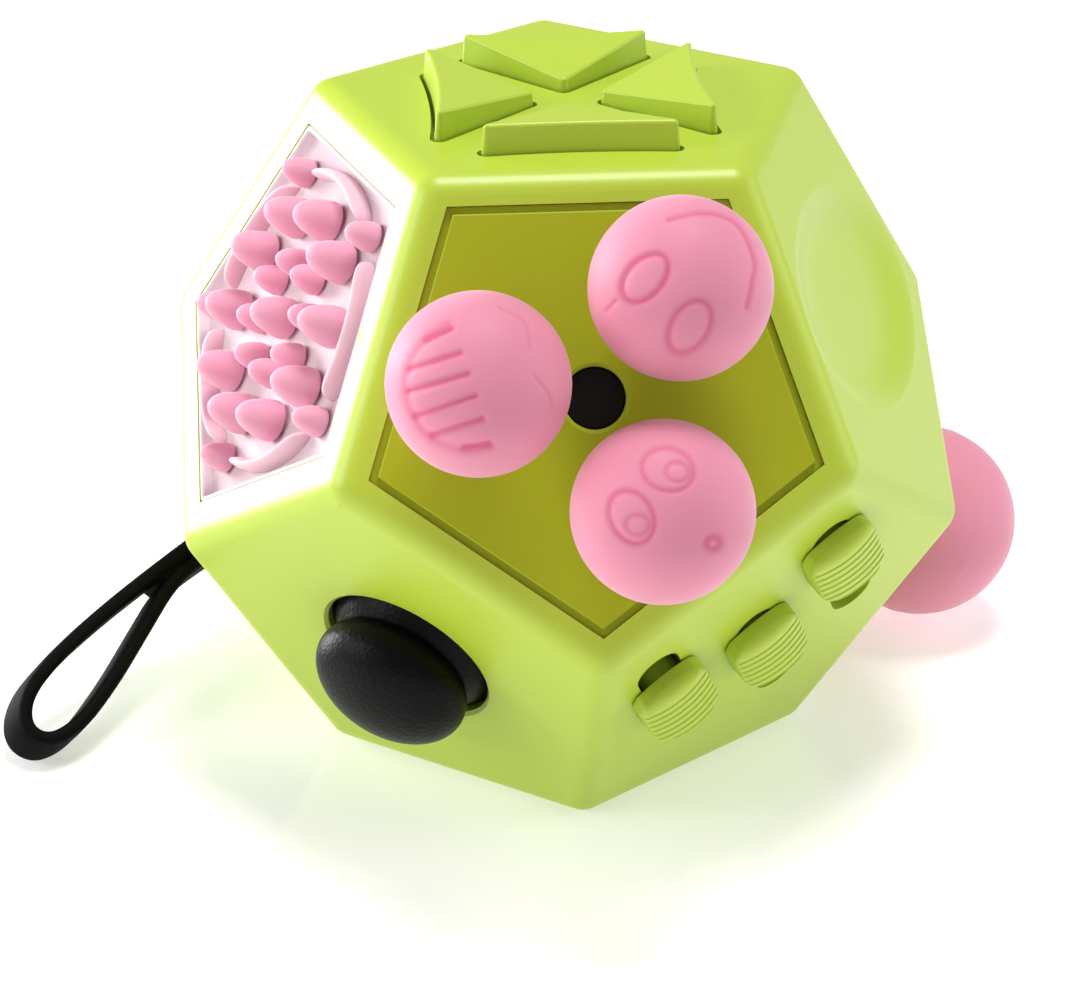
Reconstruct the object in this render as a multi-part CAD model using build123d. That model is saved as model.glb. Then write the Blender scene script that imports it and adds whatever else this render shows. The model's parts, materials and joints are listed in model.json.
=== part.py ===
from build123d import *
import math
import os

# Twelve-sided fidget toy: a hollow dodecahedron that rests on one face, with a different
# thing to play with on each of the other faces. Millimetres, +Z up, origin at the centre
# of the face it rests on, front face towards -Y.

# ---- driving dimensions ---------------------------------------------------------------
INRADIUS = 29.0  # centre of the body to the middle of each face
WALL = 2.0
EDGE_ROUNDING = 2.4
SEAM_GAP = 0.12  # between the two bowls of the body
RUNNING = 0.05  # radial clearance of a pin that turns in a hole
FIT = 0.02  # clearance of parts that are pressed or glued together
SCREW_R, SCREW_HEAD_R, SCREW_HEAD_H, SCREW_LONG = 0.75, 1.3, 0.8, 3.0
BOSS_R = 1.3

# Faces as azimuth and elevation of their outward normals, in degrees.
RING = math.degrees(math.atan(0.5))
FACES = {
    "front": (-90, RING), "left": (-162, RING), "right": (-18, RING),
    "right_rear": (54, RING), "left_rear": (126, RING),
    "lower_left": (-126, -RING), "lower_right": (-54, -RING),
    "lower_right_rear": (18, -RING), "rear": (90, -RING), "lower_left_rear": (162, -RING),
    "top": (-90, 90), "bottom": (-90, -90),
}
FRONT_BOWL = ("front", "top", "left", "right", "lower_left", "lower_right")

# Front face: panel with three squeeze balls around a plugged screw hole.
PANEL_CORNER, PANEL_THICK, PANEL_GAP = 19.3, 1.6, 0.04
PANEL_GROOVE_WIDE, PANEL_GROOVE_DEEP = 0.6, 0.45
PANEL_FLOOR = 3.0
BALL_R, BALL_HEIGHT, BALL_RING = 7.2, 9.3, 10.0
BALL_ANGLES = {"left": 173.4, "upper": 53.4, "lower": -66.6}
BALL_TRAVEL = 1.8
POST_R, POST_TOP = 1.8, 7.6
HUB_HOLE_R, HUB_DEPTH = 2.55, 0.8

# Screws that pull the two bowls onto the post along the front-rear axis.
CORE_POST_R, CORE_BOSS_R, CORE_BOSS_DEPTH = 3.6, 4.2, 8.0
CORE_SCREW_R, CORE_HEAD_R, CORE_HEAD_H, CORE_SCREW_LONG = 1.2, 2.25, 1.4, 13.0
CORE_SEAT_DEPTH = 3.3

# Top face: four keys around a centre that sits a little in front of the face's own.
KEY_CENTRE_Y = -1.4
KEY_APEX, KEY_OUTER, KEY_HALF, KEY_BOW = 2.7, 11.9, 8.9, 0.6
KEY_HIGH, KEY_LOW, KEY_DRAFT = 2.6, 1.1, 5.0  # height at the outer side and at the apex
KEY_SLOT, KEY_FLANGE = 0.35, 0.9
KEY_ANGLES = {"front": -90, "right": 0, "back": 90, "left": 180}

# Left face: soft pad with cones and curved ridges.
PAD_CORNER, PAD_TOP, PAD_BOTTOM, PAD_EDGE = 17.7, -1.0, -1.9, 1.0
PAD_RIDGE_RING, CORNER_CONE_RING = 13.2, 13.3
LARGE_CONE, SMALL_CONE = (1.8, 4.0), (1.3, 2.9)  # radius and height

# Lower left face: joystick. Lower right rear face: ball on the same two-way tilt.
STICK_HOLE_R, STICK_HOLE_CHAMFER = 7.69, 0.3
STICK_CAP_R, STICK_CAP_HALF, STICK_CAP_HEIGHT = 6.9, 4.13, 2.6
TILT_DEPTH, STEM_R, STEM_END = 6.0, 2.0, 8.6
STICK_SKIRT_R, SIDE_SKIRT_R, SKIRT_THICK = 9.0, 6.1, 0.7  # domes about the tilt's centre
SIDE_BALL_R, SIDE_BALL_HEIGHT, SIDE_HOLE_R = 9.05, 12.9, 5.0

# Lower right face: three sliders; x runs along the row, y towards the front face.
SLIDER_X = {"left": -9.1, "middle": 0.0, "right": 9.1}
SLIDER_REST_Y = {"left": 5.6, "middle": 1.9, "right": 7.1}
SLOT_ENDS = {"left": (-5.5, 12.9), "middle": (-10.4, 6.7), "right": (-6.3, 12.1)}
SLOT_WIDE = 4.2
SLIDER_CAP = (6.7, 8.2, 2.8)
SLIDER_CROWN, SLIDER_ROUND, SLIDER_RIBS, SLIDER_RIB_PITCH = 9.0, 1.2, 7, 1.0
SLIDER_STEM = (3.8, 6.0)

# Right face: oval worry dish pressed into the body.
DISH_LONG, DISH_WIDE, DISH_DEPTH, DISH_TURN = 32.0, 18.4, 1.25, -12.0

# Faces at the back: rocker, thumb wheels, spinner, strap.
ROCKER_DEPTH, ROCKER_SWING_R, ROCKER_WIDE, ROCKER_LEAN = 3.4, 7.0, 7.9, 9.0
WHEEL_R, WHEEL_THICK, WHEEL_PITCH, WHEEL_DEPTH, WHEEL_TEETH = 6.6, 3.4, 4.6, 3.6, 18
DISC_R, DISC_POCKET_R, DISC_BUSH_R = 11.9, 12.3, 3.0
STRAP_BAR_Z = -5.4
STRAP_R = 0.65  # the plain tube that stands for the flat strap
# Folded strap, from the bar inside, out through the bush, down to the surface and back.
STRAP_ROUTE = [
    (-21.2, 6.9, 18.6), (-25.0, 8.2, 16.7), (-29.2, 9.4, 14.3), (-33.7, 8.9, 11.6), (-38.3, 6.2, 9.4),
    (-42.5, 2.0, 8.0), (-46.5, -3.0, 6.7), (-49.2, -6.6, 4.9), (-49.4, -9.2, 2.9), (-47.3, -9.9, 1.7),
    (-44.6, -8.1, 2.2), (-41.6, -3.4, 4.1), (-38.8, 2.0, 6.4), (-36.2, 6.35, 8.85), (-32.6, 8.6, 10.6),
    (-28.4, 9.1, 13.1), (-24.4, 7.9, 15.4), (-20.6, 6.7, 17.3),
]


# ---- helpers --------------------------------------------------------------------------
def direction(azimuth, elevation):
    az, el = math.radians(azimuth), math.radians(elevation)
    return Vector(math.cos(el) * math.cos(az), math.cos(el) * math.sin(az), math.sin(el))


def face_location(name, turn=0.0):
    """Frame of a face: z outward, y uphill (towards +Y on top and bottom), then turned."""
    normal = direction(*FACES[name])
    lift = Vector(0, 1, 0) if abs(normal.Z) > 0.99 else Vector(0, 0, 1)
    uphill = (lift - normal * normal.dot(lift)).normalized()
    centre = Vector(0, 0, INRADIUS) + normal * INRADIUS
    plane = Plane(origin=centre, x_dir=uphill.cross(normal), z_dir=normal)
    return plane.location * Rot(0, 0, turn)


def pentagon(corner, first_angle):
    points = [(corner * math.cos(math.radians(first_angle + 72 * i)),
               corner * math.sin(math.radians(first_angle + 72 * i))) for i in range(5)]
    return Polygon(*points, align=None)


def slab(outline, low, high):
    return extrude(Pos(0, 0, low) * outline, amount=high - low, dir=(0, 0, 1))


def rod(radius, low, high, x=0.0, y=0.0):
    return slab(Pos(x, y) * Circle(radius), low, high)


def cross_rod(radius, low, high, z, along="x"):
    """Rod along local x or y at height z."""
    turn = Rot(0, 90, 0) if along == "x" else Rot(-90, 0, 0)
    return Pos(0, 0, z) * turn * rod(radius, low, high)


def polar(radius, angle):
    return radius * math.cos(math.radians(angle)), radius * math.sin(math.radians(angle))


def revolved(outline):
    """Solid of revolution about local z of an outline drawn as (radius, z)."""
    return revolve(Plane.XZ * outline, axis=Axis.Z)


def screws(places, seat):
    """Small screws whose heads sit under an inner plate at depth seat."""
    found = Part()
    for x, y in places:
        found += rod(SCREW_HEAD_R, seat - SCREW_HEAD_H, seat, x, y)
        found += rod(SCREW_R, seat - 0.1, seat + SCREW_LONG, x, y)
    return found


def bosses(places, seat):
    found = Part()
    for x, y in places:
        found += rod(BOSS_R, seat, -WALL + 0.2, x, y)
    return found


def boss_holes(places, seat):
    found = Part()
    for x, y in places:
        found += rod(SCREW_R + RUNNING, seat - 0.5, seat + 2.1, x, y)
    return found


# ---- the body -------------------------------------------------------------------------
def neighbours(a, b):
    return abs(direction(*FACES[a]).dot(direction(*FACES[b])) - math.sqrt(0.2)) < 0.01


def face_corners(name, scale):
    """Corners of one face, in order round it, about the body's centre."""
    normal = direction(*FACES[name])
    around = [other for other in FACES if neighbours(name, other)]
    corners = []
    for i, a in enumerate(around):
        for b in around[i + 1:]:
            if neighbours(a, b):
                total = normal + direction(*FACES[a]) + direction(*FACES[b])
                corners.append(total * (scale / total.dot(normal)))
    first = (corners[0] - normal * scale).normalized()
    side = normal.cross(first)
    corners.sort(key=lambda p: math.atan2(p.dot(side), p.dot(first)))
    return corners


def polygon_face(points):
    return Face(Wire.make_polygon(points, close=True))


def dodecahedron(inradius):
    sides = [polygon_face(face_corners(name, inradius)) for name in FACES]
    return Pos(0, 0, INRADIUS) * Solid(Shell(sides))


def bowl_region(names):
    """Everything that the named faces are seen in from the centre: one side of the seam."""
    reach = 1.6 * INRADIUS
    sides, edges = [], []
    for name in names:
        corners = face_corners(name, reach)
        sides.append(polygon_face(corners))
        edges += list(zip(corners, corners[1:] + corners[:1]))
    for start, end in edges:
        shared = any((start - b).length < 0.01 and (end - a).length < 0.01 for a, b in edges)
        if not shared:
            sides.append(polygon_face([Vector(0, 0, 0), start, end]))
    return Pos(0, 0, INRADIUS) * Solid(Shell(sides))


def hollow_body():
    outer = dodecahedron(INRADIUS)
    outer = fillet(outer.edges(), EDGE_ROUNDING)
    return outer - dodecahedron(INRADIUS - WALL)


def seam_shift(sign):
    return Pos(*(direction(*FACES["front"]) * (sign * SEAM_GAP / 2)))


# ---- front face: ball panel -----------------------------------------------------------
CORE_HOLE = rod(CORE_SCREW_R + RUNNING, -20, 5)


def panel_shell_add():
    floor = slab(pentagon(19.0, -90), -PANEL_FLOOR, -WALL + 0.1)
    return floor + rod(CORE_BOSS_R, -CORE_BOSS_DEPTH, -WALL)


def panel_shell_cut():
    pocket = slab(pentagon(PANEL_CORNER, -90), -PANEL_THICK, 1)
    seat = rod(CORE_HEAD_R + 0.1, -CORE_SEAT_DEPTH, 1)
    return pocket + seat + CORE_HOLE


def ball_panel():
    corner = PANEL_CORNER - PANEL_GAP / math.cos(math.radians(36))
    raised = slab(pentagon(corner - PANEL_GROOVE_WIDE / math.cos(math.radians(36)), -90), -1, 0)
    raised = chamfer(raised.faces().sort_by(Axis.Z)[-1].edges(), 0.12)
    plate = slab(pentagon(corner, -90), -PANEL_THICK + FIT, -PANEL_GROOVE_DEEP) + raised
    for angle in BALL_ANGLES.values():
        x, y = polar(BALL_RING, angle)
        post = rod(POST_R, -0.5, POST_TOP, x, y)
        plate += chamfer(post.faces().sort_by(Axis.Z)[-1].edges(), 0.4)
    plate -= rod(HUB_HOLE_R, -PANEL_THICK - 1, 1)
    plate -= Pos(0, 0, -0.3) * revolved(Polygon((0, 0), (HUB_HOLE_R, 0), (HUB_HOLE_R + 0.6, 0.6),
                                                (0, 0.6), align=None))
    return plate


def squeeze_ball(angle):
    x, y = polar(BALL_RING, angle)
    ball = Pos(0, 0, BALL_HEIGHT) * Sphere(BALL_R)
    ball -= rod(POST_R + RUNNING, 0, POST_TOP + BALL_TRAVEL + 0.3)
    return Pos(x, y) * ball


def hub_plug():
    plug = rod(HUB_HOLE_R - RUNNING, -PANEL_THICK + FIT, -HUB_DEPTH)
    return chamfer(plug.faces().sort_by(Axis.Z)[-1].edges(), 0.15)


def core_post():
    length = INRADIUS - CORE_BOSS_DEPTH - 0.05
    post = rod(CORE_POST_R, -length, length)
    post -= rod(CORE_SCREW_R + RUNNING, length - 9, length + 1)
    post -= rod(CORE_SCREW_R + RUNNING, -length - 1, -length + 9)
    return post


def core_screw(seat):
    return rod(CORE_HEAD_R, seat, seat + CORE_HEAD_H) + rod(CORE_SCREW_R, seat - CORE_SCREW_LONG, seat + 0.1)


# ---- top face: keys -------------------------------------------------------------------
KEY_SCREWS = [polar(15.0, angle) for angle in (90, 18, 162)]
KEY_PLATE_TOP, KEY_PLATE_THICK = -5.0, 1.4
KEY_FLANGE_BOTTOM = -3.2


def key_outline(grow=0.0):
    """Triangle that points at the middle, with a slightly hollow outer side."""
    bow_r = (KEY_HALF ** 2 + KEY_BOW ** 2) / (2 * KEY_BOW)
    triangle = Polygon((KEY_APEX, 0), (KEY_OUTER, -KEY_HALF), (KEY_OUTER, KEY_HALF), align=None)
    shape = triangle - Pos(KEY_OUTER - KEY_BOW + bow_r, 0) * Circle(bow_r)
    shape = fillet(shape.vertices(), 0.45)
    return offset(shape, grow) if grow else shape


def at_key(angle, shape):
    return Pos(0, KEY_CENTRE_Y) * Rot(0, 0, angle) * shape


def key(angle):
    base = slab(key_outline(), KEY_FLANGE_BOTTOM, 0.05)
    top = extrude(key_outline(), amount=KEY_HIGH + 1, dir=(0, 0, 1), taper=KEY_DRAFT)
    slope = (KEY_HIGH - KEY_LOW) / (KEY_OUTER - KEY_APEX)
    under = Polygon((0, -1), (20, -1), (20, KEY_LOW + slope * (20 - KEY_APEX)),
                    (0, KEY_LOW - slope * KEY_APEX), align=None)
    top &= extrude(Plane.XZ * under, amount=20, both=True)
    top = fillet(top.faces().sort_by(Axis.Z)[-1].edges(), 0.3)
    flange = slab(key_outline(KEY_FLANGE), KEY_FLANGE_BOTTOM, -WALL - 0.1)
    return at_key(angle, base + top + flange)


def keys_shell_cut():
    found = boss_holes(KEY_SCREWS, KEY_PLATE_TOP)
    for angle in KEY_ANGLES.values():
        found += at_key(angle, slab(key_outline(KEY_SLOT), -WALL - 1, 1))
    return found


def key_membrane():
    sheet = rod(13.4, KEY_PLATE_TOP + FIT, KEY_PLATE_TOP + 0.4)
    for angle in KEY_ANGLES.values():
        dome = Cone(2.6, 1.6, 1.4 - 0.04, align=(Align.CENTER, Align.CENTER, Align.MIN))
        sheet += at_key(angle, Pos(8.3, 0, KEY_PLATE_TOP + 0.4) * dome)
    return sheet


def key_carrier():
    plate = slab(pentagon(17.0, 90), KEY_PLATE_TOP - KEY_PLATE_THICK, KEY_PLATE_TOP)
    for x, y in KEY_SCREWS:
        plate -= rod(SCREW_R + RUNNING, -10, 0, x, y)
    return plate - rod(3.0, -10, 0)


# ---- left face: soft pad --------------------------------------------------------------
PAD_PEGS = [polar(CORNER_CONE_RING, 54 + 72 * i) for i in range(5)]


def cone_places():
    """Every cone of the pad as x, y, radius and height."""
    places = [(0.0, 0.0, *LARGE_CONE)]
    places += [(*polar(9.1, 18 + 36 * i), *LARGE_CONE) for i in range(10)]
    places += [(*polar(4.8, 22.5 + 45 * i), *SMALL_CONE) for i in range(8)]
    places += [(*peg, *SMALL_CONE) for peg in PAD_PEGS]
    return places


def massage_pad():
    pad = slab(pentagon(PAD_CORNER, -90), PAD_BOTTOM + FIT, PAD_TOP)
    inner = PAD_CORNER - PAD_EDGE / math.cos(math.radians(36))
    pad += slab(pentagon(PAD_CORNER, -90) - pentagon(inner, -90), PAD_TOP - 0.1, -0.15)
    for x, y, radius, height in cone_places():
        pad += rod(0.6 * radius, PAD_TOP - 0.2, PAD_TOP + 0.3 * height, x, y)
        cap = Cone(radius, 0.4 * radius, 0.9 * height, align=(Align.CENTER, Align.CENTER, Align.MIN))
        pad += Pos(x, y, PAD_TOP + 0.1 * height) * cap
    for x, y in PAD_PEGS:
        pad += rod(1.0, -PANEL_FLOOR - 0.1, PAD_BOTTOM + 0.2, x, y)
        pad += rod(1.5, -PANEL_FLOOR - 0.9, -PANEL_FLOOR - 0.05, x, y)
    for i in range(5):
        pad += pad_ridge(18 + 72 * i)
    return pad


def pad_ridge(middle):
    """Curved ridge between two corner cones."""
    start, end = middle - 26, middle + 26
    ring = Circle(PAD_RIDGE_RING + 0.8) - Circle(PAD_RIDGE_RING - 0.8)
    wedge = Polygon((0, 0), polar(20, start), polar(30, middle), polar(20, end), align=None)
    return slab(ring & wedge, PAD_TOP - 0.1, PAD_TOP + 1.9)


def pad_shell_cut():
    pocket = slab(pentagon(PAD_CORNER + 0.15, -90), PAD_BOTTOM, 1)
    for x, y in PAD_PEGS:
        pocket += rod(1.05, -5, 0, x, y)
    return pocket


# ---- two-way tilt: joystick and side ball ---------------------------------------------
TILT_SCREWS = [polar(12.8, angle) for angle in (90, 210, 330)]
TILT_SEAT = -4.0
HOUSING_R, HOUSING_IN, HOUSING_FLOOR = 10.0, 8.9, -9.4


def tilt_stem(top):
    """Stem with the pin it rocks on, along local y."""
    stem = rod(STEM_R, -STEM_END, top)
    return stem + cross_rod(0.8, -7.4, 7.4, -TILT_DEPTH, "y")


def tilt_skirt(radius, widest):
    """Dome about the tilt's centre that closes the window at every angle."""
    dome = Sphere(radius) - Sphere(radius - SKIRT_THICK)
    reach = 2 * radius
    cone = revolved(Polygon((0, 0), (reach * math.sin(math.radians(widest)),
                                     reach * math.cos(math.radians(widest))), (0, reach), align=None))
    return Pos(0, 0, -TILT_DEPTH) * (dome & cone)


def tilt_gimbal():
    ring = rod(7.9, -TILT_DEPTH - 1.2, -TILT_DEPTH + 1.2) - rod(6.2, -20, 0)
    ring -= cross_rod(0.8 + RUNNING, -10, 10, -TILT_DEPTH, "y")
    ring += cross_rod(0.8, 7.0, 9.6, -TILT_DEPTH, "x")
    return ring + cross_rod(0.8, -9.6, -7.0, -TILT_DEPTH, "x")


def tilt_housing():
    cup = rod(HOUSING_R, HOUSING_FLOOR - 1.2, -WALL - 0.05) - rod(HOUSING_IN, HOUSING_FLOOR, 0)
    for x, y in TILT_SCREWS:
        angle = math.degrees(math.atan2(y, x))
        lug = Rot(0, 0, angle) * Pos(11.4, 0, TILT_SEAT - 0.6) * Box(4.6, 3.4, 1.2)
        cup += lug + rod(1.7, TILT_SEAT - 1.2, TILT_SEAT, x, y)
    cup -= rod(HOUSING_IN, HOUSING_FLOOR, 0)
    cup -= cross_rod(0.8 + RUNNING, -12, 12, -TILT_DEPTH, "x")
    for x, y in TILT_SCREWS:
        cup -= rod(SCREW_R + RUNNING, -10, 0, x, y)
    return cup


def tilt_return_pad():
    pad = rod(HOUSING_IN - 0.2, HOUSING_FLOOR + FIT, HOUSING_FLOOR + 0.3)
    ring = rod(HOUSING_IN - 0.2, HOUSING_FLOOR + 0.2, HOUSING_FLOOR + 0.8) - rod(6.8, -12, 0)
    return pad + ring


def stick_cap():
    dome = scale(Sphere(STICK_CAP_R), by=(1, 1, STICK_CAP_HALF / STICK_CAP_R))
    return Pos(0, 0, STICK_CAP_HEIGHT) * dome + tilt_stem(0.5) + tilt_skirt(STICK_SKIRT_R, 65)


def stick_shell_cut():
    hole = rod(STICK_HOLE_R, -WALL - 1, 1)
    edge = Polygon((0, -STICK_HOLE_CHAMFER), (STICK_HOLE_R, -STICK_HOLE_CHAMFER),
                   (STICK_HOLE_R + 2 * STICK_HOLE_CHAMFER, STICK_HOLE_CHAMFER),
                   (0, STICK_HOLE_CHAMFER), align=None)
    seat = Pos(0, 0, -TILT_DEPTH) * Sphere(STICK_SKIRT_R + 0.2) - rod(20, -1.0, 9)
    return hole + seat + revolved(edge) + boss_holes(TILT_SCREWS, TILT_SEAT)


def side_shell_cut():
    edge = Polygon((0, -0.5), (SIDE_HOLE_R, -0.5), (SIDE_HOLE_R + 1, 0.5), (0, 0.5), align=None)
    return rod(SIDE_HOLE_R, -WALL - 1, 1) + revolved(edge) + boss_holes(TILT_SCREWS, TILT_SEAT)


def side_stem():
    under_ball = SIDE_BALL_HEIGHT - SIDE_BALL_R
    stem = tilt_stem(SIDE_BALL_HEIGHT - 1)
    return stem + rod(4.0, under_ball - 0.9, under_ball + 0.25) + tilt_skirt(SIDE_SKIRT_R, 60)


def side_ball():
    under_ball = SIDE_BALL_HEIGHT - SIDE_BALL_R
    ball = Pos(0, 0, SIDE_BALL_HEIGHT) * Sphere(SIDE_BALL_R)
    ball -= rod(STEM_R + FIT, 0, SIDE_BALL_HEIGHT - 0.9)
    return ball - rod(5.0, 0, under_ball + 0.3)


# ---- lower right face: sliders --------------------------------------------------------
SLIDER_TURN = 36.0
SLIDER_SCREWS = [polar(15.5, angle) for angle in (-18, 198, -90)]
SLIDER_SEAT = -3.4


def slider_crown(length):
    """Bar along local y with a crowned back, its round end at the origin."""
    half = SLIDER_CAP[0] / 2 + 0.2
    edge = SLIDER_ROUND - SLIDER_CROWN + math.sqrt(SLIDER_CROWN ** 2 - half ** 2)
    back = ThreePointArc((-half, edge), (0, SLIDER_ROUND), (half, edge))
    end = make_face(back + Polyline((half, edge), (half, 0), (-half, 0), (-half, edge)))
    bar = make_face(back + Polyline((half, edge), (half, -4), (-half, -4), (-half, edge)))
    return revolve(Plane.XZ * end, Axis.X) + extrude(Plane.XZ * bar, amount=length)


def slider(name):
    """Thumb slider: low and round at the end towards the front face, with ribs across its back."""
    wide, long, high = SLIDER_CAP
    outline = RectangleRounded(wide, long, 1.9) & Pos(0, long / 2 - SLIDER_CROWN) * Circle(SLIDER_CROWN)
    rise = 4.4
    low_end = Pos(0, long / 2 - SLIDER_ROUND, high - 0.55 - SLIDER_ROUND) * Rot(-rise, 0, 0)
    crown = low_end * slider_crown(12)
    cap = slab(outline, 0.15, high - 0.55 - SLIDER_ROUND) + (slab(outline, 0.15, 5) & crown)
    cap = fillet(cap.edges().filter_by(lambda e: e.center().Z > 0.6), 0.5)
    for i in range(SLIDER_RIBS):
        ring = Pos(0, 0, SLIDER_ROUND - SLIDER_CROWN) * Rot(90, 0, 0) * Torus(SLIDER_CROWN + 0.05, 0.22)
        cap -= low_end * Pos(0, -0.5 - SLIDER_RIB_PITCH * i, 0) * ring
    stem_wide, stem_long = SLIDER_STEM
    cap += slab(SlotOverall(stem_long, stem_wide, rotation=90), -WALL - 0.1, 0.6)
    cap += rod(1.0, SLIDER_SEAT + 0.1, -WALL)
    return Pos(SLIDER_X[name], SLIDER_REST_Y[name]) * cap


def slider_clip(name):
    clip = slab(RectangleRounded(6.0, 7.0, 1.0), SLIDER_SEAT + 0.1, -WALL - 0.12)
    clip -= rod(1.0 + FIT, -5, 0)
    return Pos(SLIDER_X[name], SLIDER_REST_Y[name]) * clip


def sliders_shell_cut():
    found = boss_holes(SLIDER_SCREWS, SLIDER_SEAT)
    for name, x in SLIDER_X.items():
        low, high = SLOT_ENDS[name]
        slot = SlotOverall(high - low, SLOT_WIDE, rotation=90)
        found += Pos(x, (low + high) / 2) * slab(slot, -WALL - 1, 1)
    return found


def slider_track():
    plate = slab(pentagon(17.4, -90), SLIDER_SEAT - 1.2, SLIDER_SEAT)
    for side in (-1, 1):
        plate += Pos(side * 4.55, 0, -2.75) * Box(0.8, 22, 1.4)
    for x, y in SLIDER_SCREWS:
        plate -= rod(SCREW_R + RUNNING, -10, 0, x, y)
    return plate


# ---- right face: worry dish -----------------------------------------------------------
def dish_cut():
    """Shallow oval bowl: a round one with a soft lip, stretched to its length and width."""
    rim = DISH_WIDE / 2
    section = [(0, -1), (0.4, -0.98), (0.66, -0.86), (0.82, -0.58), (0.93, -0.25), (1.02, -0.06),
               (1.10, 0.02)]
    bowl = Spline([(rim * r, DISH_DEPTH * z) for r, z in section], tangents=((1, 0), (1, 0.02)))
    rest = Polyline((1.10 * rim, 0.02 * DISH_DEPTH), (1.10 * rim, 1), (0, 1), (0, -DISH_DEPTH))
    bowl = revolved(make_face(bowl + rest))
    return Pos(0, 0.5) * Rot(0, 0, DISH_TURN) * scale(bowl, by=(DISH_LONG / DISH_WIDE, 1, 1))


# ---- right rear face: rocker ----------------------------------------------------------
ROCKER_SCREWS = [(0, -10.6), (0, 10.6)]
FRAME_SEAT = -4.0


def rocker():
    """Rocker that leans to one side, on a pin along local x."""
    swing = Pos(0, -ROCKER_DEPTH) * Circle(ROCKER_SWING_R)
    below = Polygon((-8, -5.2), (8, -5.2), (8, 2.1), (0, 0.5), (-8, 2.1), align=None)
    body = extrude(Plane.YZ * (swing & below), amount=ROCKER_WIDE / 2, both=True)
    body = fillet(body.edges().filter_by(lambda e: e.center().Z > 0.2), 0.5)
    body -= cross_rod(1.0 + RUNNING, -8, 8, -ROCKER_DEPTH, "x")
    lean = Pos(0, 0, -ROCKER_DEPTH) * Rot(ROCKER_LEAN, 0, 0) * Pos(0, 0, ROCKER_DEPTH)
    return lean * body


def open_frame(outer, inner, places):
    """Rectangular frame under the wall, with a lug at each screw."""
    frame = slab(Rectangle(*outer), -6.6, -WALL - 0.05)
    for x, y in places:
        frame += slab(Pos(x, y) * Circle(1.8) + Pos(x, 0.88 * y) * Rectangle(3.6, 3), -5.2, FRAME_SEAT)
    frame -= slab(Rectangle(*inner), -12, 0)
    for x, y in places:
        frame -= rod(SCREW_R + RUNNING, -10, 0, x, y)
    return frame


def rocker_housing():
    frame = open_frame((12.4, 17.6), (8.5, 14.8), ROCKER_SCREWS)
    return frame - cross_rod(1.0, -8, 8, -ROCKER_DEPTH, "x")


def rocker_pin():
    return cross_rod(1.0 - FIT, -6.1, 6.1, -ROCKER_DEPTH, "x")


def rocker_shell_cut():
    opening = slab(RectangleRounded(8.5, 14.4, 1.0), -WALL - 1, 1)
    return opening + boss_holes(ROCKER_SCREWS, FRAME_SEAT)


# ---- left rear face: thumb wheels -----------------------------------------------------
WHEEL_SCREWS = [(0, -10.6), (0, 10.6)]
WHEEL_X = {"left": -WHEEL_PITCH, "middle": 0.0, "right": WHEEL_PITCH}


def thumb_wheel(x):
    wheel = slab(Circle(WHEEL_R), -WHEEL_THICK / 2, WHEEL_THICK / 2)
    wheel = chamfer(wheel.edges(), 0.4)
    for i in range(WHEEL_TEETH):
        notch_x, notch_y = polar(WHEEL_R + 0.25, 360 / WHEEL_TEETH * i)
        wheel -= rod(0.62, -3, 3, notch_x, notch_y)
    wheel -= rod(1.0 + RUNNING, -3, 3)
    return Pos(x, 0, -WHEEL_DEPTH) * Rot(0, 90, 0) * wheel


def wheel_axle():
    return cross_rod(1.0, -9.4, 9.4, -WHEEL_DEPTH, "x")


def wheel_cradle():
    frame = open_frame((19.2, 17.6), (15.6, 14.6), WHEEL_SCREWS)
    return frame - cross_rod(1.0 + FIT, -10, 10, -WHEEL_DEPTH, "x")


def wheels_shell_cut():
    found = boss_holes(WHEEL_SCREWS, FRAME_SEAT)
    for x in WHEEL_X.values():
        found += slab(Pos(x, 0) * RectangleRounded(3.9, 13.8, 0.8), -WALL - 1, 1)
    return found


# ---- rear face: spinner ---------------------------------------------------------------
def spinner_shell_add():
    return rod(14.0, -3.2, -WALL + 0.1) + rod(CORE_BOSS_R, -CORE_BOSS_DEPTH, -3)


def disc_bush():
    bush = rod(DISC_BUSH_R, -1.7 + FIT, 1.7) + rod(4.0, -1.7 + FIT, -1.3)
    return bush - CORE_HOLE - rod(CORE_HEAD_R + 0.1, -0.4, 3)


def spin_disc():
    profile = Polygon((DISC_BUSH_R + RUNNING, -1.2), (DISC_R, -1.2), (DISC_R, 0.6), (DISC_R - 1.2, 1.8),
                      (6.4, 2.3), (5.2, 2.3), (5.2, 1.72), (DISC_BUSH_R + RUNNING, 1.72), align=None)
    disc = revolved(profile)
    for i in range(3):
        x, y = polar(9.0, 90 + 120 * i)
        disc -= Pos(x, y, 5.0) * Sphere(4.3)
    return disc


def disc_cap():
    return rod(4.9, 1.78, 2.7) + rod(CORE_HEAD_R, 1.15, 1.9)


# ---- lower left rear face: strap ------------------------------------------------------
def strap_shell_add():
    """Two ears inside that hold the bar the strap is looped on."""
    found = Part()
    for side in (-1, 1):
        found += Pos(side * 4.6, 0, -4.4) * Box(1.6, 6.0, 5.2)
    return found


def strap_shell_cut():
    opening = slab(RectangleRounded(6.0, 5.6, 1.6), -WALL - 1, 1)
    return opening + cross_rod(0.8 + FIT, -8, 8, STRAP_BAR_Z, "x")


def strap_bush():
    bush = slab(RectangleRounded(6.0 - 2 * FIT, 5.6 - 2 * FIT, 1.6), -WALL - 0.6, 0.1)
    bush += slab(RectangleRounded(7.6, 7.2, 2.2), 0.02, 0.7)
    return bush - slab(RectangleRounded(4.4, 4.0, 0.8), -5, 2)


def strap_bar():
    return cross_rod(0.8, -5.3, 5.3, STRAP_BAR_Z, "x")


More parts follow.
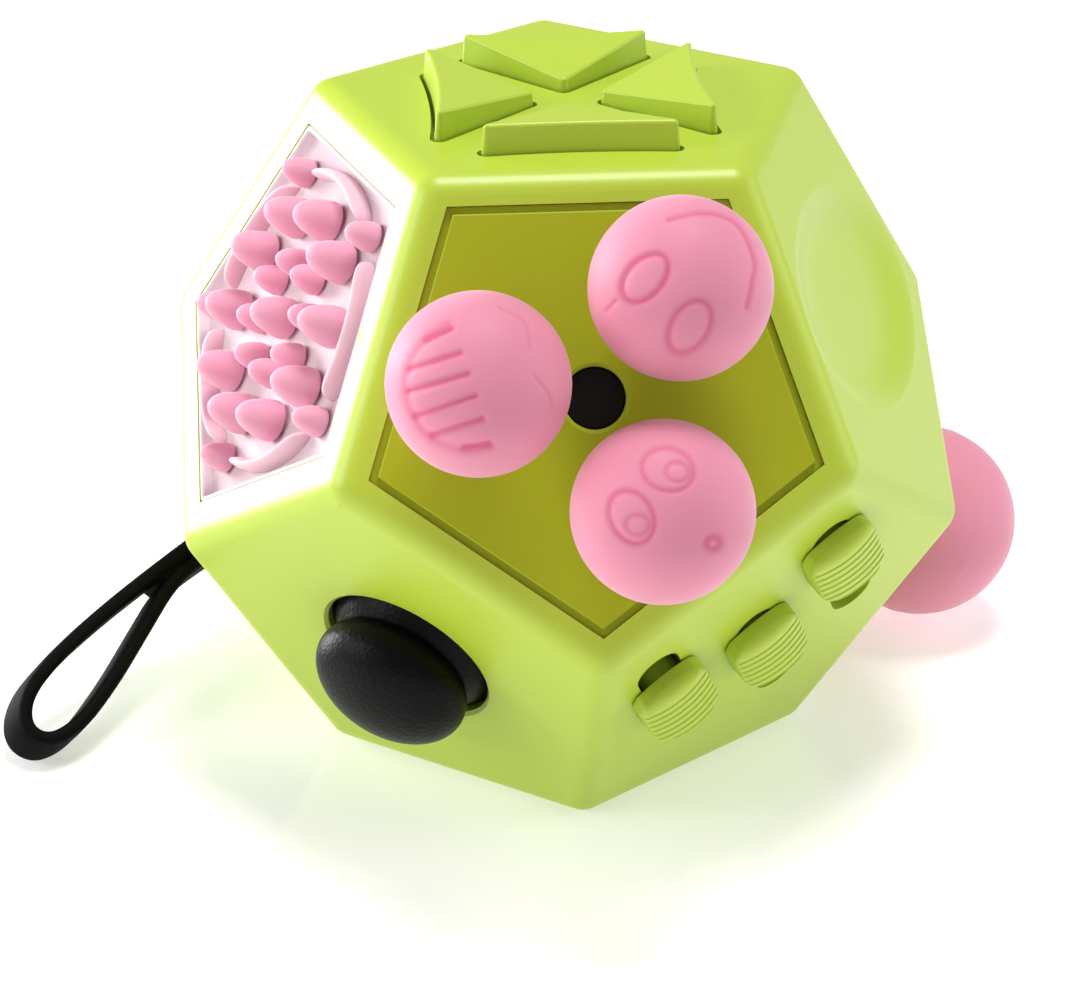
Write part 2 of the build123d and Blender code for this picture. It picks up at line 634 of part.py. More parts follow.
def bend_radii(points):
    """The largest arc that two neighbouring runs allow at each corner."""
    radii = []
    for before, here, after in zip(points, points[1:], points[2:]):
        run_in, run_out = Vector(*here) - Vector(*before), Vector(*after) - Vector(*here)
        half_turn = math.radians(run_in.get_angle(run_out) / 2)
        radii.append(0.45 * min(run_in.length, run_out.length) / math.tan(half_turn))
    return radii


def wrist_strap():
    radii = bend_radii(STRAP_ROUTE)
    path = FilletPolyline(*STRAP_ROUTE, radius=radii)
    section = Plane(origin=path @ 0, z_dir=path % 0) * Circle(STRAP_R)
    strap = sweep(section, path=path)
    print("strap bend radii", [round(r, 1) for r in radii], "length", round(path.length, 1),
          "volume over section times length", round(strap.volume / (math.pi * STRAP_R ** 2 * path.length), 4))
    return strap


# ---- bowls ----------------------------------------------------------------------------
def front_shell(body):
    bowl = body & (seam_shift(1) * bowl_region(FRONT_BOWL))
    front, top, left = face_location("front"), face_location("top"), face_location("left")
    stick, sliders = face_location("lower_left"), face_location("lower_right", SLIDER_TURN)
    dish = face_location("right")
    bowl += front * panel_shell_add()
    bowl += top * bosses(KEY_SCREWS, KEY_PLATE_TOP)
    bowl += left * slab(pentagon(18.6, -90), -PANEL_FLOOR, -WALL + 0.1)
    bowl += stick * bosses(TILT_SCREWS, TILT_SEAT)
    bowl += sliders * bosses(SLIDER_SCREWS, SLIDER_SEAT)
    bowl -= front * panel_shell_cut()
    bowl -= top * keys_shell_cut()
    bowl -= left * pad_shell_cut()
    bowl -= stick * stick_shell_cut()
    bowl -= sliders * sliders_shell_cut()
    return bowl - dish * dish_cut()


def rear_shell(body):
    rear_faces = [name for name in FACES if name not in FRONT_BOWL]
    bowl = body & (seam_shift(-1) * bowl_region(rear_faces))
    rear, side = face_location("rear"), face_location("lower_right_rear")
    rocking, wheels = face_location("right_rear"), face_location("left_rear")
    strap = face_location("lower_left_rear")
    bowl += rear * spinner_shell_add()
    bowl += side * bosses(TILT_SCREWS, TILT_SEAT)
    bowl += rocking * bosses(ROCKER_SCREWS, FRAME_SEAT)
    bowl += wheels * bosses(WHEEL_SCREWS, FRAME_SEAT)
    bowl += strap * strap_shell_add()
    bowl -= rear * (rod(DISC_POCKET_R, -1.7, 1) + CORE_HOLE)
    bowl -= side * side_shell_cut()
    bowl -= rocking * rocker_shell_cut()
    bowl -= wheels * wheels_shell_cut()
    bowl -= strap * strap_shell_cut()
    track = Circle(10.6) - Circle(9.4)
    return bowl - face_location("bottom") * slab(track, -0.5, 1)


# ---- all nodes ------------------------------------------------------------------------
def all_parts():
    front, top, rear = face_location("front"), face_location("top"), face_location("rear")
    stick, side = face_location("lower_left"), face_location("lower_right_rear")
    sliders = face_location("lower_right", SLIDER_TURN)
    rocking, wheels = face_location("right_rear"), face_location("left_rear")
    strap = face_location("lower_left_rear")
    body = hollow_body()
    parts = {"front_shell": front_shell(body), "rear_shell": rear_shell(body)}
    parts["core_post"] = front * Pos(0, 0, -INRADIUS) * core_post()
    parts["core_screws"] = front * core_screw(-CORE_SEAT_DEPTH) + rear * core_screw(-0.4)
    parts["ball_panel"] = front * ball_panel()
    parts["hub_plug"] = front * hub_plug()
    for name, angle in BALL_ANGLES.items():
        parts["ball_" + name] = front * squeeze_ball(angle)
    for name, angle in KEY_ANGLES.items():
        parts["key_" + name] = top * key(angle)
    parts["key_membrane"] = top * key_membrane()
    parts["key_carrier"] = top * key_carrier()
    parts["massage_pad"] = face_location("left") * massage_pad()
    for prefix, place in (("stick", stick), ("side", side)):
        parts[prefix + "_gimbal"] = place * tilt_gimbal()
        parts[prefix + "_housing"] = place * tilt_housing()
        parts[prefix + "_return_pad"] = place * tilt_return_pad()
    parts["stick_cap"] = stick * stick_cap()
    parts["side_stem"] = side * side_stem()
    parts["side_ball"] = side * side_ball()
    for name in SLIDER_X:
        parts["slider_" + name] = sliders * slider(name)
        parts["slider_clip_" + name] = sliders * slider_clip(name)
    parts["slider_track"] = sliders * slider_track()
    parts["rocker"] = rocking * rocker()
    parts["rocker_pin"] = rocking * rocker_pin()
    parts["rocker_housing"] = rocking * rocker_housing()
    for name, x in WHEEL_X.items():
        parts["thumb_wheel_" + name] = wheels * thumb_wheel(x)
    parts["wheel_axle"] = wheels * wheel_axle()
    parts["wheel_cradle"] = wheels * wheel_cradle()
    parts["spin_disc"] = rear * spin_disc()
    parts["disc_bush"] = rear * disc_bush()
    parts["disc_cap"] = rear * disc_cap()
    parts["strap_bush"] = strap * strap_bush()
    parts["strap_bar"] = strap * strap_bar()
    parts["wrist_strap"] = wrist_strap()
    parts["module_screws"] = (
        top * screws(KEY_SCREWS, KEY_PLATE_TOP - KEY_PLATE_THICK)
        + stick * screws(TILT_SCREWS, TILT_SEAT - 1.2)
        + side * screws(TILT_SCREWS, TILT_SEAT - 1.2)
        + sliders * screws(SLIDER_SCREWS, SLIDER_SEAT - 1.2)
        + rocking * screws(ROCKER_SCREWS, -5.2)
        + wheels * screws(WHEEL_SCREWS, -5.2)
    )
    return parts


os.makedirs("parts", exist_ok=True)
for node, shape in all_parts().items():
    export_step(shape, "parts/" + node + ".step")
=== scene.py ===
"""Looks of the twelve-sided fidget toy: lime plastic body, pink silicone balls, soft pad,
grained joystick knob, black strap. Lengths are in millimetres until a mesh is made."""

import json
import math

import bmesh
import bpy
import numpy as np
from mathutils import Matrix, Vector

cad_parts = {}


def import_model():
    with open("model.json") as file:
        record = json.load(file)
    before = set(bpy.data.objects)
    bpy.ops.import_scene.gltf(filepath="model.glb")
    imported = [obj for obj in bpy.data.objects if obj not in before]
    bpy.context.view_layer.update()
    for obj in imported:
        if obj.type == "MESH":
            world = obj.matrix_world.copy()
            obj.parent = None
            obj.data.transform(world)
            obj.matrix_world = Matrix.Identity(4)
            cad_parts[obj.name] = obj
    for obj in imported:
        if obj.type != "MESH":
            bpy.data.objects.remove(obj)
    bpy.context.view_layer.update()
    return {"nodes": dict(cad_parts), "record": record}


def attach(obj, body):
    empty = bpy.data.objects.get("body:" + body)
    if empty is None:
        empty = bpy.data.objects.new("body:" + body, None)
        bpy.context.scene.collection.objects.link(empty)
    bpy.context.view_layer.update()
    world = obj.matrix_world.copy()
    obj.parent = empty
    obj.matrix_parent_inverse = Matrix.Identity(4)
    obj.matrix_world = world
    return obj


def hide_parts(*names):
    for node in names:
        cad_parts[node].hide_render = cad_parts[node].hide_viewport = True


MM = 0.001
INRADIUS = 29.0
RING = math.degrees(math.atan(0.5))
FACES = {
    "front": (-90, RING), "left": (-162, RING), "lower_left": (-126, -RING),
    "lower_right_rear": (18, -RING),
}

# View of the toy: position and axes of the camera.
CAMERA_AT = Vector((-0.88926, -8.79970, 4.17469)) * INRADIUS + Vector((0, 0, INRADIUS))
CAMERA_RIGHT = Vector((0.99592, -0.09002, 0.00540))
CAMERA_UP = Vector((0.03570, 0.44920, 0.89270))
FOCAL_LENGTH, SENSOR = 106.25, 36.0

# Three squeeze balls on the front face.
BALL_R, BALL_HEIGHT, BALL_RING, POST_HOLE_R = 7.2, 9.3, 10.0, 1.85
BALL_ANGLES = {"left": 173.4, "upper": 53.4, "lower": -66.6}
HOLE_DEPTH = 0.45  # of the hole for a post or a stem, in ball radii
# Ball on the side, with a fine moulding seam round its middle.
SIDE_BALL_R, SIDE_BALL_HEIGHT, SIDE_STEM_R = 9.05, 12.9, 4.1
SEAM_HIGH, SEAM_WIDE = 0.0045, 0.16  # in ball radii and in millimetres

# Soft pad on the left face.
PAD_CORNER, PAD_BOTTOM, PAD_FLOOR, PAD_RIM, PAD_BEAD = 17.77, -1.88, -1.0, -0.04, 0.55
KNOB_RING, SMALL_RING, CORNER_RING, RIDGE_RING = 9.1, 4.8, 13.3, 12.75
LARGE_KNOB, SMALL_KNOB = (1.8, 4.0), (1.3, 2.9)

# Strap: its two layers are sewn together where they are less than a gap apart, over a share of the width.
STRAP_WIDE, STRAP_THICK, STRAP_SEWN_GAP, STRAP_SEWN_SHARE = 3.9, 1.42, 2.0, 0.9
STRAP_SECTION = (0.35, 0.6)  # powers that square off the band's rounded section, across and through
STRAP_LEAN = 48.0  # degrees that the width leans from facing the camera towards the loop's length
LOOP_RIGHT, LOOP_UP = 0.743, 0.669  # the loop's length as seen by the camera
STRAP_ROUTE = [
    (-21.2, 6.9, 18.6), (-25.0, 8.2, 16.7), (-29.2, 9.4, 14.3), (-33.7, 8.9, 11.6), (-38.3, 6.2, 9.4),
    (-42.5, 2.0, 8.0), (-46.5, -3.0, 6.7), (-49.2, -6.6, 4.9), (-49.4, -9.2, 2.9), (-47.3, -9.9, 1.7),
    (-44.6, -8.1, 2.2), (-41.6, -3.4, 4.1), (-38.8, 2.0, 6.4), (-36.2, 6.35, 8.85), (-32.6, 8.6, 10.6),
    (-28.4, 9.1, 13.1), (-24.4, 7.9, 15.4), (-20.6, 6.7, 17.3),
]

# Lights: where each stands in metres, its side and its power; glow of the floor and of the sky.
LIGHTS = [
    ("back_left", (-0.48, 0.36, 0.05), 0.25, 4.2),
    ("left", (-0.45, -0.10, 0.20), 0.25, 1.1),
    ("top", (0.05, 0.03, 0.60), 0.20, 2.3),
    ("right", (0.50, -0.05, 0.18), 0.35, 0.7),
]
FLOOR_GLOW, SKY = 0.36, 0.38
FLOOR_HALF, FLOOR_Z = 3000, -0.05  # millimetres; a hair below the toy so that the two do not fight


# ---- helpers --------------------------------------------------------------------------
def face_frame(name):
    """Matrix of a face: z outward, y uphill, millimetres to millimetres."""
    az, el = (math.radians(a) for a in FACES[name])
    normal = Vector((math.cos(el) * math.cos(az), math.cos(el) * math.sin(az), math.sin(el)))
    lift = Vector((0, 0, 1))
    uphill = (lift - normal * normal.dot(lift)).normalized()
    across = uphill.cross(normal)
    matrix = Matrix((across, uphill, normal)).transposed().to_4x4()
    matrix.translation = Vector((0, 0, INRADIUS)) + normal * INRADIUS
    return matrix


def polar(radius, angle):
    return radius * math.cos(math.radians(angle)), radius * math.sin(math.radians(angle))


def add_mesh(name, points, faces, place=None, smooth=True, shade=None):
    """Object from millimetre points, moved by place and turned into metres; shade is a value per point,
    kept as an attribute that the ball material uses to paint shade into the pressed grooves.
    """
    points = np.asarray(points, float)
    if place is not None:
        turn = np.array(place.to_3x3())
        points = points @ turn.T + np.array(place.translation)
    mesh = bpy.data.meshes.new(name)
    mesh.from_pydata((points * MM).tolist(), [], faces)
    mesh.polygons.foreach_set("use_smooth", [smooth] * len(mesh.polygons))
    mesh.validate()
    if shade is not None:
        mesh.attributes.new("shade", "FLOAT", "POINT").data.foreach_set("value", shade)
    obj = bpy.data.objects.new(name, mesh)
    bpy.context.scene.collection.objects.link(obj)
    return obj


def joined(pieces):
    """One list of points and one of faces out of several."""
    points, faces = [], []
    for more_points, more_faces in pieces:
        start = len(points)
        points += [tuple(p) for p in more_points]
        faces += [tuple(start + i for i in face) for face in more_faces]
    return points, faces


def rings_to_faces(rings, around, close_last=True):
    faces = []
    for r in range(rings - 1):
        for i in range(around):
            j = (i + 1) % around
            faces.append((r * around + i, r * around + j, (r + 1) * around + j, (r + 1) * around + i))
    if close_last:
        faces.append(tuple((rings - 1) * around + i for i in range(around)))
    return faces


def lathe(profile, around, x=0.0, y=0.0, z=0.0):
    points = []
    for radius, height in profile:
        for i in range(around):
            dx, dy = polar(radius, 360 * i / around)
            points.append((x + dx, y + dy, z + height))
    return points, rings_to_faces(len(profile), around)


# ---- materials ------------------------------------------------------------------------
def principled(name, color, roughness, **inputs):
    mat = bpy.data.materials.new(name)
    mat.use_nodes = True
    shader = mat.node_tree.nodes["Principled BSDF"]
    shader.inputs["Base Color"].default_value = (*color, 1)
    shader.inputs["Roughness"].default_value = roughness
    for key, value in inputs.items():
        shader.inputs[key.replace("_", " ")].default_value = value
    return mat


def add_bump(mat, texture, scale, distance, strength=1.0, output="Fac"):
    """Relief of that many metres from a texture in object coordinates."""
    nodes, links = mat.node_tree.nodes, mat.node_tree.links
    coordinates = nodes.new("ShaderNodeTexCoord")
    pattern = nodes.new(texture)
    pattern.inputs["Scale"].default_value = scale
    bump = nodes.new("ShaderNodeBump")
    bump.inputs["Distance"].default_value = distance
    bump.inputs["Strength"].default_value = strength
    links.new(coordinates.outputs["Object"], pattern.inputs["Vector"])
    links.new(pattern.outputs[output], bump.inputs["Height"])
    links.new(bump.outputs["Normal"], nodes["Principled BSDF"].inputs["Normal"])
    return mat


def moulded_plastic(name, color, roughness=0.34, shine=0.5):
    mat = principled(name, color, roughness, Specular_IOR_Level=shine)
    return add_bump(mat, "ShaderNodeTexNoise", 9000, 0.000012)


def silicone(name, color, soft=0.25, groove_shade_color=None, velvet=0.25):
    """Velvety silicone; where the shade attribute is one, its second colour is mixed in as painted shade
    that darkens the balls' pressed grooves.
    """
    mat = principled(name, color, 0.55, Specular_IOR_Level=0.25, Sheen_Weight=velvet, Sheen_Roughness=0.4,
                     Subsurface_Weight=soft, Subsurface_Radius=(1.0, 0.4, 0.45), Subsurface_Scale=0.002)
    if groove_shade_color:
        nodes, links = mat.node_tree.nodes, mat.node_tree.links
        shade = nodes.new("ShaderNodeAttribute")
        shade.attribute_name = "shade"
        mix = nodes.new("ShaderNodeMix")
        mix.data_type = "RGBA"
        mix.inputs["A"].default_value = (*color, 1)
        mix.inputs["B"].default_value = (*groove_shade_color, 1)
        links.new(shade.outputs["Fac"], mix.inputs["Factor"])
        links.new(mix.outputs["Result"], nodes["Principled BSDF"].inputs["Base Color"])
    return mat


def grained_rubber():
    mat = principled("black_rubber", (0.003, 0.003, 0.0035), 0.4, Specular_IOR_Level=0.09)
    return add_bump(mat, "ShaderNodeTexVoronoi", 2600, 0.00005, 0.7, "Distance")


def webbing():
    mat = principled("black_webbing", (0.003, 0.003, 0.0035), 0.65, Specular_IOR_Level=0.06)
    return add_bump(mat, "ShaderNodeTexNoise", 5000, 0.00004)


def all_materials():
    return {
        "lime_plastic": moulded_plastic("lime_plastic", (0.46, 0.60, 0.045)),
        "olive_plastic": moulded_plastic("olive_plastic", (0.37, 0.43, 0.008), 0.5, 0.3),
        # The second, deeper pink is painted shade, darkest in the deepest pressed grooves of the front
        # balls.
        "pink_silicone": silicone("pink_silicone", (0.74, 0.27, 0.38), 0.3, groove_shade_color=(0.66, 0.12, 0.24)),
        "pale_silicone": silicone("pale_silicone", (0.74, 0.60, 0.64), 0.3, velvet=0.08),
        "ridge_silicone": silicone("ridge_silicone", (0.74, 0.51, 0.58), 0.3, velvet=0.08),
        "knob_silicone": silicone("knob_silicone", (0.77, 0.38, 0.50), 0.35, velvet=0.15),
        "grey_silicone": silicone("grey_silicone", (0.45, 0.45, 0.46)),
        "black_rubber": grained_rubber(),
        "black_webbing": webbing(),
        "black_plastic": principled("black_plastic", (0.004, 0.004, 0.004), 0.5, Specular_IOR_Level=0.2),
        "white_nylon": principled("white_nylon", (0.75, 0.75, 0.72), 0.45),
        "steel": principled("steel", (0.6, 0.6, 0.6), 0.3, Metallic=1.0),
        "black_gloss": principled("black_gloss", (0.003, 0.003, 0.003), 0.3, Specular_IOR_Level=0.15),
        "pink_plastic": moulded_plastic("pink_plastic", (0.74, 0.24, 0.36)),
    }


# ---- balls ----------------------------------------------------------------------------
def distance_to(path, at):
    """Shortest distance of each 2-D point to a polyline."""
    best = np.full(len(at), 1e9)
    for start, end in zip(np.array(path[:-1]), np.array(path[1:])):
        run = end - start
        share = np.clip(((at - start) @ run) / max(run @ run, 1e-12), 0, 1)
        gap = np.linalg.norm(at - start - share[:, None] * run, axis=1)
        best = np.minimum(best, gap)
    return best


def ellipse(x, y, long, short, tilt, start=0, end=360):
    points = []
    for i in range(33):
        t = math.radians(start + (end - start) * i / 32)
        a, b = long * math.cos(t), short * math.sin(t)
        c, s = math.cos(math.radians(tilt)), math.sin(math.radians(tilt))
        points.append((x + a * c - b * s, y + a * s + b * c))
    return points


def arc_through(points):
    """Smooth line through a few points."""
    points = [np.array(p, float) for p in points]
    ends = [2 * points[0] - points[1]] + points + [2 * points[-1] - points[-2]]
    line = []
    for a, b, c, d in zip(ends, ends[1:], ends[2:], ends[3:]):
        for t in np.linspace(0, 1, 9)[:-1]:
            line.append(0.5 * (2 * b + (c - a) * t + (2 * a - 5 * b + 4 * c - d) * t ** 2
                               + (3 * b - a - 3 * c + d) * t ** 3))
    return line + [points[-1]]


# Faces pressed into the balls, in ball radii across and up; each line has width and depth.
LEFT_TEETH = [
    ((-0.52, 0.44), (-0.27, 0.55)), ((-0.70, 0.13), (-0.17, 0.29)), ((-0.71, -0.10), (-0.09, 0.065)),
    ((-0.64, -0.36), (-0.01, -0.16)), ((-0.47, -0.56), (0.06, -0.39)), ((-0.13, -0.69), (0.13, -0.65)),
]
MARKS = {
    "left": [(list(tooth), 0.038, 0.022) for tooth in LEFT_TEETH] + [
        (arc_through([(-0.30, 0.60), (-0.52, 0.46), (-0.72, 0.16), (-0.75, -0.12), (-0.64, -0.40),
                      (-0.47, -0.59), (-0.13, -0.72), (0.15, -0.67)]), 0.05, 0.012),
        (arc_through([(0.24, 0.79), (0.50, 0.63), (0.55, 0.35)]), 0.02, 0.008),
        (arc_through([(0.60, 0.05), (0.74, -0.12), (0.78, -0.27)]), 0.02, 0.008),
    ],
    "upper": [
        (arc_through([(-0.16, 0.68), (0.15, 0.75), (0.44, 0.72), (0.62, 0.58), (0.75, 0.24),
                      (0.72, 0.02), (0.66, -0.25)]), 0.035, 0.018),
        (ellipse(-0.41, 0.05, 0.29, 0.19, 48), 0.04, 0.022),
        (ellipse(0.06, -0.46, 0.29, 0.19, 58), 0.04, 0.018),
        ([(-0.80, -0.27), (-0.71, -0.18)], 0.025, 0.012),
    ],
    "lower": [
        (ellipse(0.02, 0.45, 0.28, 0.23, -15), 0.035, 0.016),
        (ellipse(0.12, 0.42, 0.12, 0.10, 0), 0.03, 0.012),
        (ellipse(-0.36, -0.05, 0.29, 0.22, -60), 0.035, 0.018),
        (ellipse(-0.30, -0.13, 0.12, 0.10, 0), 0.03, 0.012),
        (ellipse(0.49, -0.32, 0.07, 0.06, 0), 0.05, 0.02),
    ],
}
MARK_DEPTH = 0.026  # deepest mark, in ball radii


def sphere_with_hole(radius, hole_r, fineness):
    """Points and faces of a sphere whose underside (local -z) is open for a post."""
    ball = bmesh.new()
    bmesh.ops.create_icosphere(ball, subdivisions=fineness, radius=radius)
    inside = [v for v in ball.verts if v.co.z < 0 and v.co.xy.length < hole_r]
    bmesh.ops.delete(ball, geom=inside, context="VERTS")
    rim = [e for e in ball.edges if e.is_boundary]
    for vert in {v for e in rim for v in e.verts}:
        flat = vert.co.xy.normalized() * hole_r
        vert.co = Vector((flat.x, flat.y, -math.sqrt(radius ** 2 - hole_r ** 2)))
    grown = bmesh.ops.extrude_edge_only(ball, edges=rim)["geom"]
    for vert in (g for g in grown if isinstance(g, bmesh.types.BMVert)):
        vert.co.z += HOLE_DEPTH * radius
    ball.verts.ensure_lookup_table()
    points = np.array([v.co[:] for v in ball.verts])
    faces = [tuple(v.index for v in f.verts) for f in ball.faces]
    ball.free()
    return points, faces


def front_ball(name, materials):
    front = face_frame("front")
    x, y = polar(BALL_RING, BALL_ANGLES[name])
    points, faces = sphere_with_hole(BALL_R, POST_HOLE_R, 7)
    turn = np.array(front.to_3x3())
    unit = points @ turn.T / BALL_R
    facing = np.array(CAMERA_RIGHT.cross(CAMERA_UP))
    at = np.stack([unit @ np.array(CAMERA_RIGHT), unit @ np.array(CAMERA_UP)], axis=1)
    sunk = np.zeros(len(points))
    for path, width, depth in MARKS[name]:
        sunk += depth * np.exp(-(distance_to(path, at) / width) ** 2)
    sunk[unit @ facing < 0.1] = 0
    sunk = np.minimum(sunk, MARK_DEPTH)
    points = points * (1 - sunk)[:, None] + np.array([x, y, BALL_HEIGHT])
    # The groove depth also drives painted shade: the pressed marks are painted a darker pink, darkest
    # where they are deepest.
    ball = add_mesh("silicone_ball_" + name, points, faces, front, shade=sunk / MARK_DEPTH)
    finish_piece(ball, materials["pink_silicone"], "pink_silicone", "ball_" + name, "ball_" + name)


def side_ball(materials):
    points, faces = sphere_with_hole(SIDE_BALL_R, SIDE_STEM_R, 6)
    seam = SEAM_HIGH * np.exp(-(points[:, 2] / SEAM_WIDE) ** 2)
    seam[np.linalg.norm(points[:, :2], axis=1) < 0.6 * SIDE_BALL_R] = 0
    points = points * (1 + seam)[:, None] + np.array([0, 0, SIDE_BALL_HEIGHT])
    ball = add_mesh("silicone_side_ball", points, faces, face_frame("lower_right_rear"))
    finish_piece(ball, materials["pink_silicone"], "pink_silicone", "side_knob", "side_ball")


def finish_piece(obj, mat, slot, body, *nodes):
    obj.data.materials.append(mat)
    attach(obj, body)
    if nodes:
        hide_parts(*nodes)
    return obj


# ---- soft pad -------------------------------------------------------------------------
def pentagon_loop(inset, z, corner_r=0.5):
    """Pentagon with slightly rounded corners."""
    corner = PAD_CORNER - inset / math.cos(math.radians(36))
    rounding = max(corner_r - 0.5 * inset, 0.12)
    back = rounding / math.cos(math.radians(36))
    points = []
    for k in range(5):
        angle = -90 + 72 * k
        cx, cy = polar(corner - back, angle)
        for step in range(-3, 4):
            dx, dy = polar(rounding, angle + 12 * step)
            points.append((cx + dx, cy + dy, z))
    return points


def pad_base():
    loops = [(0, PAD_BOTTOM), (0, -0.18), (0.06, -0.08), (0.16, PAD_RIM), (0.32, PAD_RIM),
             (0.46, -0.15), (PAD_BEAD, -0.35), (PAD_BEAD + 0.08, PAD_FLOOR)]
    points = []
    for inset, z in loops:
        points += pentagon_loop(inset, z)
    return points, rings_to_faces(len(loops), 35)


def knob(x, y, radius, height, around=28):
    shape = [(0.70, -0.02), (0.60, 0.03), (0.66, 0.05), (0.90, 0.055), (0.98, 0.10), (1.0, 0.20),
             (0.96, 0.34), (0.87, 0.52), (0.74, 0.70), (0.58, 0.84), (0.40, 0.93), (0.20, 0.985),
             (0.02, 1.0)]
    profile = [(radius * r, height * h) for r, h in shape]
    return lathe(profile, around, x, y, PAD_FLOOR)


def ridge(middle, half_span=27.5, width=0.50, height=1.75):
    """Bar with a round back along an arc, thinner at its ends."""
    points, steps, around = [], 40, 12
    for s in range(steps + 1):
        share = 2 * s / steps - 1
        taper = math.sqrt(max(1 - abs(share) ** 9, 0.02))
        angle = middle + half_span * share
        for i in range(around):
            t = 2 * math.pi * i / around
            radial = RIDGE_RING + width * taper * math.cos(t)
            px, py = polar(radial, angle)
            points.append((px, py, PAD_FLOOR + 0.1 + (height - 0.1) * taper * math.sin(t)))
    faces = rings_to_faces(steps + 1, around)
    faces.append(tuple(reversed(range(around))))
    return points, faces


def soft_pad(materials):
    left = face_frame("left")
    base = add_mesh("pad_base", *pad_base(), left)
    ridges = add_mesh("pad_ridges", *joined([ridge(18 + 72 * k) for k in range(5)]), left)
    places = [(0.0, 0.0, *LARGE_KNOB)]
    places += [(*polar(KNOB_RING, 18 + 36 * k), *LARGE_KNOB) for k in range(10)]
    places += [(*polar(SMALL_RING, 22.5 + 45 * k), *SMALL_KNOB) for k in range(8)]
    places += [(*polar(CORNER_RING, 54 + 72 * k), *SMALL_KNOB) for k in range(5)]
    knobs = add_mesh("pad_knobs", *joined([knob(*place) for place in places]), left)
    finish_piece(base, materials["pale_silicone"], "pale_silicone", "body", "massage_pad")
    finish_piece(ridges, materials["ridge_silicone"], "pale_silicone", "body")
    finish_piece(knobs, materials["knob_silicone"], "pale_silicone", "body")


# ---- strap ----------------------------------------------------------------------------
def strap_line():
    """Points of the route's smooth line, in metres."""
    curve = bpy.data.curves.new("strap_route", "CURVE")
    curve.dimensions = "3D"
    spline = curve.splines.new("NURBS")
    spline.points.add(len(STRAP_ROUTE) - 1)
    for point, place in zip(spline.points, STRAP_ROUTE):
        point.co = (*(MM * c for c in place), 1)
    spline.order_u = 3
    spline.use_endpoint_u = True
    spline.resolution_u = 10
    holder = bpy.data.objects.new("strap_route", curve)
    bpy.context.scene.collection.objects.link(holder)
    mesh = holder.to_mesh()
    line = [v.co.copy() for v in mesh.vertices]
    holder.to_mesh_clear()
    bpy.data.objects.remove(holder)
    return line


def strap_sewing(line, across0, half_w):
    """Thread between the two layers, from the body to where the loop opens."""
    half = len(line) // 2
    points = []
    for here in line[:half]:
        there = min(line[half:], key=lambda p: (p - here).length)
        gap = there - here
        if gap.length > MM * STRAP_SEWN_GAP:
            break
        across = (across0 - gap * across0.dot(gap) / gap.length_squared).normalized()
        for layer, side in ((here, 1), (here, -1), (there, -1), (there, 1)):
            points.append(tuple((layer + across * (side * STRAP_SEWN_SHARE * half_w)) / MM))
    faces = rings_to_faces(len(points) // 4, 4)
    faces.append((3, 2, 1, 0))
    return points, faces


def strap(materials):
    line = strap_line()
    facing = CAMERA_RIGHT.cross(CAMERA_UP)
    lean = math.radians(STRAP_LEAN)
    along_band = LOOP_RIGHT * CAMERA_RIGHT + LOOP_UP * CAMERA_UP
    across0 = facing * math.cos(lean) + along_band * math.sin(lean)
    half_w, half_t = MM * STRAP_WIDE / 2, MM * STRAP_THICK / 2
    outline = []
    for i in range(16):
        t = 2 * math.pi * i / 16
        c, s = math.cos(t), math.sin(t)
        outline.append((math.copysign(abs(c) ** STRAP_SECTION[0], c),
                        math.copysign(abs(s) ** STRAP_SECTION[1], s)))
    points = []
    for i, here in enumerate(line):
        tangent = (line[min(i + 1, len(line) - 1)] - line[max(i - 1, 0)]).normalized()
        across = (across0 - tangent * tangent.dot(across0)).normalized()
        thick = tangent.cross(across)
        for a, b in outline:
            points.append((here + across * (half_w * a) + thick * (half_t * b)) / MM)
    faces = rings_to_faces(len(line), 16)
    faces.append(tuple(reversed(range(16))))
    band = add_mesh("strap_band", *joined([(points, faces), strap_sewing(line, across0, half_w)]))
    finish_piece(band, materials["black_webbing"], "black_webbing", "body", "wrist_strap")


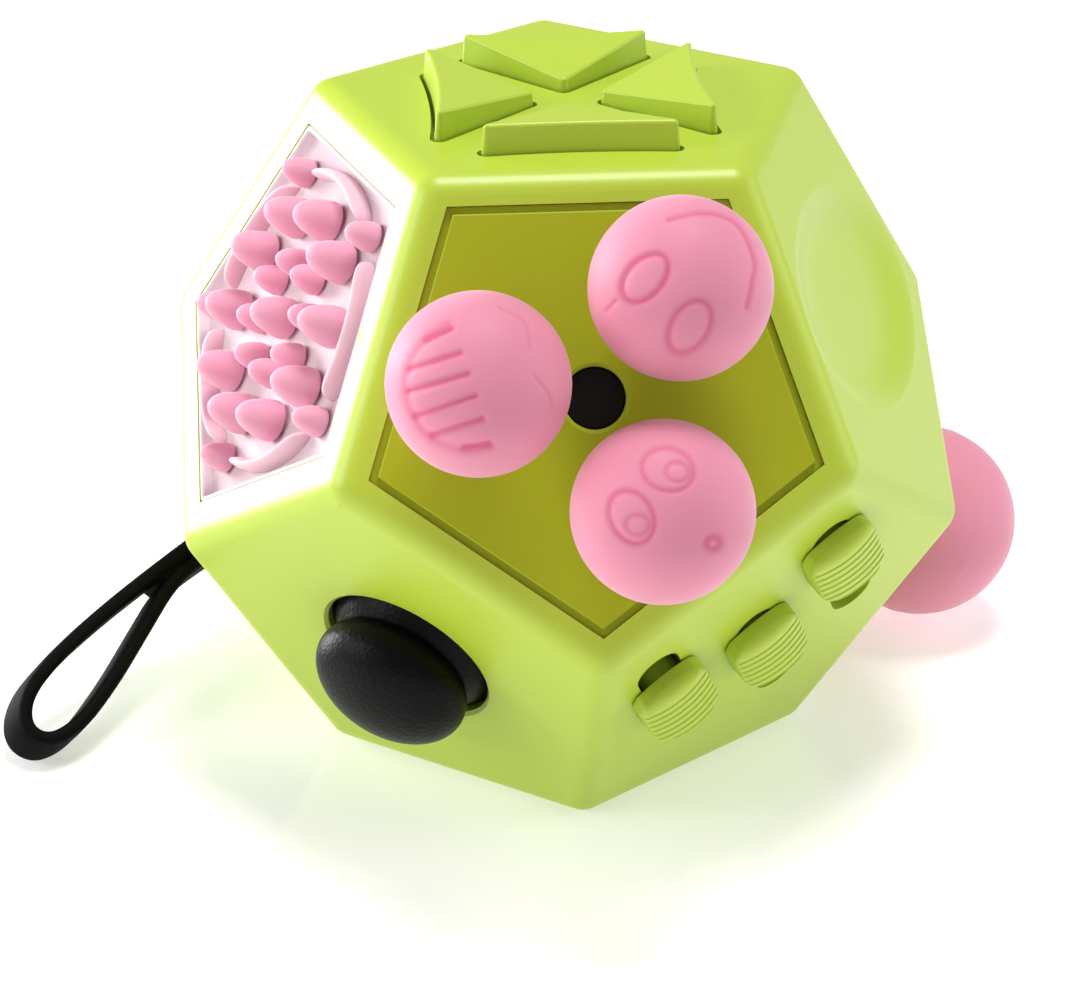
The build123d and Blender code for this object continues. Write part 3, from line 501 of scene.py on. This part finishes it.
# ---- stage ----------------------------------------------------------------------------
def camera():
    data = bpy.data.cameras.new("camera")
    data.lens, data.sensor_width, data.sensor_fit = FOCAL_LENGTH, SENSOR, "HORIZONTAL"
    data.clip_start = 0.01
    obj = bpy.data.objects.new("camera", data)
    matrix = Matrix((CAMERA_RIGHT, CAMERA_UP, CAMERA_RIGHT.cross(CAMERA_UP))).transposed().to_4x4()
    matrix.translation = CAMERA_AT * MM
    obj.matrix_world = matrix
    bpy.context.scene.collection.objects.link(obj)
    bpy.context.scene.camera = obj


def area_light(name, place, size, power, color=(1, 1, 1)):
    data = bpy.data.lights.new(name, "AREA")
    data.shape, data.size, data.energy, data.color = "SQUARE", size, power, color
    obj = bpy.data.objects.new(name, data)
    obj.location = place
    aim = Vector((0, 0, 0.03)) - Vector(place)
    obj.rotation_euler = aim.to_track_quat("-Z", "Y").to_euler()
    bpy.context.scene.collection.objects.link(obj)


def stage():
    signs = [(-1, -1), (1, -1), (1, 1), (-1, 1)]
    corners = [(FLOOR_HALF * x, FLOOR_HALF * y, FLOOR_Z) for x, y in signs]
    floor = add_mesh("floor", corners, [(0, 1, 2, 3)], smooth=False)
    white = principled("floor_white", (0.9, 0.9, 0.9), 0.12)
    white.node_tree.nodes["Principled BSDF"].inputs["Emission Color"].default_value = (1, 1, 1, 1)
    white.node_tree.nodes["Principled BSDF"].inputs["Emission Strength"].default_value = FLOOR_GLOW
    floor.data.materials.append(white)
    world = bpy.data.worlds.new("world")
    bpy.context.scene.world = world
    world.use_nodes = True
    world.node_tree.nodes["Background"].inputs["Color"].default_value = (1, 1, 1, 1)
    world.node_tree.nodes["Background"].inputs["Strength"].default_value = SKY
    for name, place, size, power in LIGHTS:
        area_light(name, place, size, power)


def render_settings():
    scene = bpy.context.scene
    scene.view_settings.view_transform = "Standard"
    scene.view_settings.look = "None"


def main():
    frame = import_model()
    materials = all_materials()
    for part in frame["record"]["subparts"]:
        node = frame["nodes"][part["node"]]
        node.data.materials.clear()
        node.data.materials.append(materials[part["material_slot"]])
    for name in BALL_ANGLES:
        front_ball(name, materials)
    side_ball(materials)
    soft_pad(materials)
    strap(materials)
    camera()
    stage()
    render_settings()


main()
